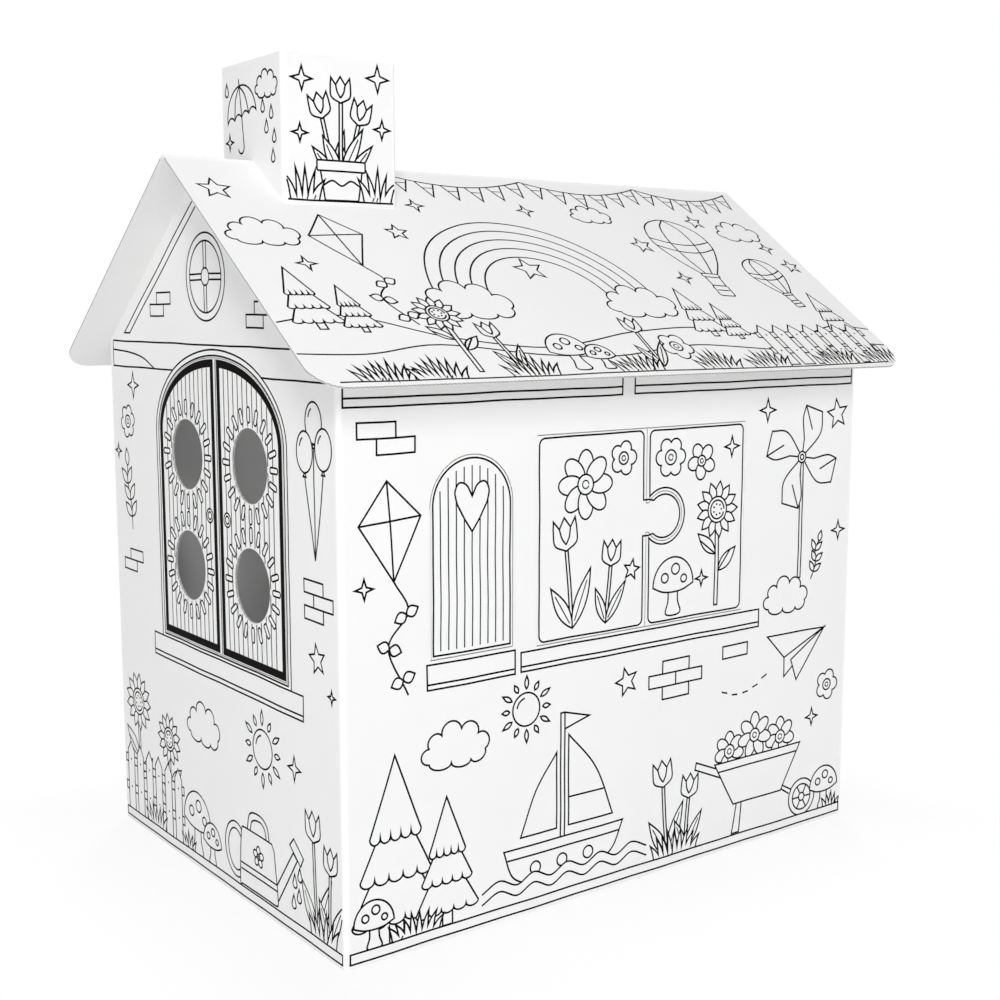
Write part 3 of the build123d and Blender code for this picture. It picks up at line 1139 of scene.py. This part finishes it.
# %% Window gable, the garden
put = partial(stamp, gable)
put(bricks((0, 0), (1, 1)), -318, 420, size=0.85)
put(sparkle(20), -262, 712)
put(blossom(6, 32), -288, 655, turn=12)
put(sparkle(11), -328, 606)
put(sprig(104), -282, 486, turn=8)
put(string_balloons(42), 292, 648)
put(bricks((0, 0), (1, 1), (0, 2)), 262, 440, size=0.85)
put(star(20), 292, 392, turn=10)
put(sparkle(9), 326, 350)
put(sunflower(236, 46), -284, 18)
put(sunflower(196, 40), -170, 18, flip=True)
put(fence(6, 36, 25, 116), -334, 18)
put(grass(66, 34, 7, 3), -226, 19)
put(mushroom(96), -76, 20)
put(mushroom(62), -27, 20)
put(grass(40, 24, 5, 4), -108, 19)
put(cloud(112), -46, 224)
put(watering_can(168), 120, 21)
for place in ((236, 88), (222, 76), (233, 58), (218, 46)):
    put(drop(11), *place)
put(tulip(168, 20), 280, 20, turn=3)
put(tulip(132, 18), 312, 20, turn=-2)
put(grass(64, 36, 6, 5), 296, 19)
put(sun(50), 138, 236)
put(sparkle(17), 226, 232)
foot_lines(gable, half_width)
ink_panel("print_window_gable", gable, gable_edge, (-half_length, 0, 0), (0, -1, 0))

# %% [markdown]
# The long wall has a shutter with a heart in it, and a pair of leaves that lock with a round knob. The left
# leaf's outline runs round the knob and the right leaf's round the recess, just inside the die cut. Sills
# go below both.

# %% Long wall, the leaves
shutter = dict(middle=-276, half=66, low=382, spring=578, rise=66)
KNOB = (63, 534)
LEAF_CORNER = 9
LEAF_LOW = 389
LEAF_HIGH = 649
LONG_BAND = (711, 722)


def leaf_corner(x, y, start):
    """A quarter round at the corner of a leaf."""
    return ring(x, y, LEAF_CORNER, start=start, end=start + 90)


def heart_shape(width, height):
    """A slim heart with straight flanks."""
    half = smooth([(0, 0.72), (0.16, 0.95), (0.38, 1.0), (0.5, 0.82), (0.44, 0.58)], steps=6)
    side = np.vstack([half, [(0.22, 0.26), (0, 0)]])
    return np.vstack([side, (side * (-1, 1))[::-1][1:-1]]) * (width, height)


long_wall = new_panel()
put = partial(stamp, long_wall)
for left, right in ((-half_length + 8, -18), (5, half_length - 8)):
    draw_line(long_wall, [(left, 760), (left, LONG_BAND[0]), (right, LONG_BAND[0]), (right, 760)])
    draw_line(long_wall, [(left, LONG_BAND[1]), (right, LONG_BAND[1])])
draw_shape(long_wall, arch(**shutter, grow=-4.5))
planks(long_wall, np.linspace(-50, 50, 9), **dict(shutter, half=56, low=392, spring=574, rise=56))
draw_shape(long_wall, heart_shape(54, 64) + (shutter["middle"], 544))
leaf_left = [leaf_corner(-156, LEAF_LOW, 180), leaf_corner(14, LEAF_LOW, 270), [(23, 508), (34, 508)],
             ring(*KNOB, 31.5, start=-140, end=140)[1:-1], [(34, 560), (23, 560)],
             leaf_corner(14, LEAF_HIGH, 0), leaf_corner(-156, LEAF_HIGH, 90)]
leaf_right = [leaf_corner(44, LEAF_LOW, 180), leaf_corner(214, LEAF_LOW, 270), leaf_corner(214, LEAF_HIGH, 0),
              leaf_corner(44, LEAF_HIGH, 90), ring(*KNOB, 41, start=133, end=-133)]
for leaf in (leaf_left, leaf_right):
    draw_shape(long_wall, np.vstack(leaf))
put(flower(8, 48, 14, 27), -84, 590)
put(tulip(156, 22), -106, 392, turn=6)
put(tulip(118, 18), -46, 392, turn=-6)
put(blossom(5, 29), -15, 622, turn=20)
put(star(15), 2, 462, turn=-12)
put(sunflower(186, 42), 172, 390)
put(blossom(6, 36), 76, 618)
put(mushroom(84), 84, 388)
put(flower(5, 28, 8, 20), 138, 608, turn=30)
put(sparkle(15), 200, 626)
put(sparkle(12), 141, 434)
sill(long_wall, -348, -206, 343, 376)
sill(long_wall, -196, 266, 344, 371)
print("leaves", len(long_wall["lines"]), "lines")

# %% [markdown]
# Round the leaves there are bricks, a kite, a pinwheel, firs, a boat and a barrow of flowers. The boat's
# hull goes under the waves, so the water rubs out what lies below its upper line.

# %% Long wall, sky and garden
TRAIL_LOW = 229
put(bricks((0, 0), (-1, 1)), -420, 652)
put(bricks((0, 0), (1, 1), (-1, 1), (0, 2)), 66, 262, size=0.95)
put(bricks((0, 0)), 190, 304, size=0.95)
put(kite(128, 150), -402, 568, turn=4)
put(sparkle(13), -440, 486)
put(pinwheel(80, 190), 356, 600)
put(sprig(66), 384, 404, turn=-14)
put(cloud(104), 328, 384)
put(star(24), 436, 664, turn=8)
put(sparkle(17), 276, 676)
put(sparkle(15), 446, 478)
put(sun(42), -186, 291)
put(cloud(112), -302, 262)
put(star(21), -4, 300, turn=14)
for x, y in ((282, 262), (262, 250), (240, 244), (217, 244), (195, 251)):
    draw_line(long_wall, [(x - 6, y - (x - TRAIL_LOW) * 0.04), (x + 6, y + (x - TRAIL_LOW) * 0.06)])
put(paper_plane(72), 352, 290, turn=10)
put(fir(248, 134), -398, 20)
put(fir(176, 100), -318, 20)
put(mushroom(64), -432, 20)
put(grass(74, 32, 8, 7), -368, 19)
put(sailboat(226), -122, 42)
swell = np.array([(-262 + 30 * k, 58 if k % 2 else 46) for k in range(11)])
waves = [smooth(swell - (0, below)) for below in (0, 15)]
rub_out(long_wall, np.vstack([waves[0], [(swell[-1, 0], 19), (swell[0, 0], 19)]]))
for wave in waves:
    draw_line(long_wall, wave)
put(tulip(150, 20), 80, 20, turn=5)
put(tulip(118, 18), 116, 20, turn=-5)
put(grass(86, 38, 9, 8), 96, 19)
put(barrow(276), 272, 19.5)
put(mushroom(70), 430, 20)
put(grass(36, 20, 5, 9), 448, 19)
put(blossom(5, 30), 430, 226, turn=15)
put(sparkle(14), 396, 178)
foot_lines(long_wall, half_length)
ink_panel("print_long_wall", long_wall, long_edge, (0, -half_width, 0), (1, 0, 0))

# %% [markdown]
# The near slope is the sky: flags under the ridge, a rainbow between two clouds, balloons, and low hills
# with a fence along the eave. What would run under the chimney is rubbed out at the end.

# %% Near roof slope
RAINBOW = (-70, 168)
stack_foot = slope_length - stack_half / cos(PITCH)
hill_back = smooth([(-560, 120), (-430, 138), (-300, 92), (-150, 66), (20, 96),
                    (170, 104), (330, 76), (450, 104), (560, 88)])
hill_front = smooth([(-560, 66), (-440, 60), (-320, 76), (-180, 52), (-40, 44),
                     (120, 64), (300, 46), (440, 58), (560, 50)])


def draw_hills(panel, *firs):
    """Two rows of hills, from their crests down past the eave, with firs between them."""
    for crest, trees in ((hill_back, firs), (hill_front, ())):
        draw_shape(panel, np.vstack([crest, [(560, -40), (-560, -40)]]))
        for x, y, tall in trees:
            stamp(panel, fir(tall, tall * 0.56), x, y)


near = new_panel()
put = partial(stamp, near)
for x, y, wide in ((-462, 318, 112), (148, 398, 84), (452, 366, 100)):
    put(cloud(wide), x, y)
draw_open(near, ring(*RAINBOW, 196, start=0, end=180))
for radius in (174, 152, 130):
    draw_line(near, ring(*RAINBOW, radius, start=0, end=180))
draw_open(near, ring(*RAINBOW, 108, start=0, end=180))
put(cloud(150), -222, 168)
put(cloud(138), 86, 166)
put(sky_balloon(124), 292, 306, turn=-4)
put(sky_balloon(78), 420, 232, turn=5)
put(kite(120, 130), -354, 318, turn=5)
for x, y, size in ((-488, 420, 24), (-70, 246, 26), (200, 318, 20),
                   (372, 392, 18), (500, 268, 18), (-250, 330, 18)):
    put(star(size), x, y, turn=x % 17 - 8)
for place in ((-430, 250), (-182, 402), (20, 402), (224, 230), (484, 320)):
    put(sparkle(15), *place)
draw_hills(near, (-470, 110, 130), (-412, 104, 98), (178, 84, 118), (226, 76, 88), (470, 82, 110))
put(sunflower(158, 36), -288, 20)
put(tulip(104, 16), -222, 18, turn=4)
put(mushroom(76), -120, 18)
put(mushroom(52), -74, 18)
put(tulip(112, 17), 22, 18, turn=-3)
put(blossom(5, 34), 78, 62)
put(fence(7, 34, 24, 96), 270, 12)
for k, x in enumerate((-430, -352, -206, -20, 132, 236, 388, 494)):
    put(grass(74, 36, 9, 20 + k), x, 8)
draw_line(near, smooth([(-498, 9), (-250, 7), (0, 9), (250, 7), (498, 10)]))
for left, right in ((-196, 60), (60, 300), (300, 516)):
    put(bunting(left, right, 486, 26, 6))
rub_out(near, box(stack_middle - stack_half, stack_foot, stack_middle + stack_half, slope_length))
near_eave = (0, -eave_reach, eave_top)
ink_panel("print_near_slope", near, slope_edge, near_eave, (1, 0, 0), (0, cos(PITCH), sin(PITCH)))

# %% [markdown]
# The chimney has four small panels. Two of them are notched over the ridge, so their outlines have a point
# there. The near face gets a pot of tulips, the left one an umbrella in the rain, and the two hidden ones
# only bricks and a star.

# %% Chimney
STACK_MARGIN = 4
STACK_END_MARGIN = 2
stack_base = ridge_top - stack_half * SLOPE
stack_side = stack_half - STACK_MARGIN
square_edge = box(-stack_side, stack_base + STACK_END_MARGIN, stack_side, stack_top - STACK_END_MARGIN)
notched_edge = np.vstack([square_edge[:1], [(0, ridge_top + STACK_END_MARGIN)], square_edge[1:]])
pot = new_panel()
put = partial(stamp, pot)
put(flower_pot(168), 0, stack_base + 8)
for x, y, size in ((-60, 168, 16), (60, 176, 18), (-64, 96, 12), (66, 108, 13)):
    put(sparkle(size), x, stack_base + y)
for x, seed in ((-58, 41), (58, 42)):
    put(grass(44, 42, 5, seed), x, stack_base + 7)
draw_line(pot, [(-84, stack_base + 7), (84, stack_base + 7)])
ink_panel("print_chimney_near", pot, square_edge, (stack_middle, -stack_half, 0), (1, 0, 0))

rain = new_panel()
put = partial(stamp, rain)
put(umbrella(86), -28, stack_top - 74, turn=8)
put(cloud(66), 46, stack_top - 38)
for x, down in ((34, 66), (58, 76), (44, 94), (66, 108), (62, 134), (-72, 34)):
    put(drop(10), x, stack_top - down)
put(sparkle(11), -66, stack_top - 106)
ink_panel("print_chimney_left", rain, notched_edge, (stack_middle - stack_half, 0, 0), (0, -1, 0))

for name, x, y, right, edge in (("right", stack_half, 0, (0, 1, 0), notched_edge),
                                ("far", 0, stack_half, (-1, 0, 0), square_edge)):
    plain = new_panel()
    stamp(plain, bricks((0, 0), (1, 1), (0, 2)), -46, stack_top - 108, size=0.9)
    stamp(plain, sparkle(16), 52, stack_top - 40)
    ink_panel("print_chimney_" + name, plain, edge, (stack_middle + x, y, 0), right)

# %% [markdown]
# The sides that the camera can't see are printed more plainly, with the same pens. The door gable has a
# door with planks and strap hinges, and tulips on both sides of it.

# %% Door gable
door = dict(middle=0, half=185, low=50, spring=520, rise=130)
door_planks = dict(door, half=176, low=59, rise=121)
FINGER_HOLE = (139, 370)
door_gable = new_panel()
put = partial(stamp, door_gable)
gable_lines(door_gable)
for grow in (16, 4):
    draw_shape(door_gable, arch(**door, grow=grow))
draw_shape(door_gable, arch(**door, grow=-9))
planks(door_gable, np.linspace(-150, 150, 13), **door_planks)
for height in (150, 450):
    tip = blade(0, 0, 0, 60, 34)[1:-1] + (8, height)
    strap = [[(-176, height - 9), (10, height - 9)], tip, [(10, height + 9), (-176, height + 9)]]
    draw_shape(door_gable, np.vstack(strap))
    for x in (-150, -80, -10):
        draw_black(door_gable, ring(x, height, 3))
for radius in (34, 26):
    draw_shape(door_gable, ring(*FINGER_HOLE, radius))
rub_out(door_gable, ring(*FINGER_HOLE, 22.5))
put(bricks((0, 0), (1, 1), (0, 2)), -320, 560, size=0.85)
for place in ((250, 640), (246, 330)):
    put(bricks((0, 0), (1, 1)), *place, size=0.85)
for x, tall in ((-318, 150), (-282, 196), (-240, 128), (250, 150), (296, 204)):
    put(tulip(tall, 18), x, 20)
for k, x in enumerate((-282, 276)):
    put(grass(90, 36, 9, 60 + k), x, 19)
foot_lines(door_gable, half_width)
ink_panel("print_door_gable", door_gable, gable_edge, (half_length, 0, 0), (0, 1, 0))

# %% [markdown]
# The rear wall has no die cuts, so its two windows of four panes are only drawn. A fence runs along its
# whole foot, one motif with more pickets.

# %% Rear wall
rear_wall = new_panel()
put = partial(stamp, rear_wall)
for height in LONG_BAND:
    draw_line(rear_wall, [(-half_length + 8, height), (half_length - 8, height)])
for middle in (-210, 210):
    draw_shape(rear_wall, box(middle - 118, 366, middle + 118, 640))
    draw_shape(rear_wall, box(middle - 106, 378, middle + 106, 628))
    for left, low in ((-98, 386), (4, 386), (-98, 507), (4, 507)):
        draw_shape(rear_wall, box(middle + left, low, middle + left + 94, low + 113))
    sill(rear_wall, middle - 140, middle + 140, 334, 366)
for place in ((-420, 640), (-26, 560), (-20, 250), (350, 656), (380, 262), (-446, 262)):
    put(bricks((0, 0), (1, 1)), *place, size=0.9)
for x, tall in ((-380, 210), (-60, 190), (280, 216)):
    put(sunflower(tall, 42), x, 20)
put(fence(25, 37, 25, 112), -456, 18)
for k, x in enumerate(range(-400, 401, 160)):
    put(grass(80, 34, 8, 80 + k), x, 19)
foot_lines(rear_wall, half_length)
ink_panel("print_rear_wall", rear_wall, long_edge, (0, half_width, 0), (-1, 0, 0))

# %% [markdown]
# The far slope repeats the hills of the near one, under a plainer sky. Its panel has its own right and up,
# so the same drawing functions serve it, and the chimney's place is mirrored.

# %% Far roof slope
far = new_panel()
put = partial(stamp, far)
for x, y, wide in ((-400, 330, 130), (-150, 410, 100), (60, 300, 140), (442, 322, 116)):
    put(cloud(wide), x, y)
for x, y in ((-280, 260), (-40, 230), (190, 420), (250, 250), (340, 292)):
    put(star(22), x, y, turn=x % 13 - 6)
draw_hills(far, (-420, 104, 130), (-350, 90, 96), (150, 84, 120), (420, 80, 110))
for k, x in enumerate(range(-450, 451, 150)):
    put(grass(80, 36, 9, 100 + k), x, 8)
rub_out(far, box(-stack_middle - stack_half, stack_foot, -stack_middle + stack_half, slope_length))
far_eave = (0, eave_reach, eave_top)
ink_panel("print_far_slope", far, slope_edge, far_eave, (-1, 0, 0), (0, -cos(PITCH), sin(PITCH)))
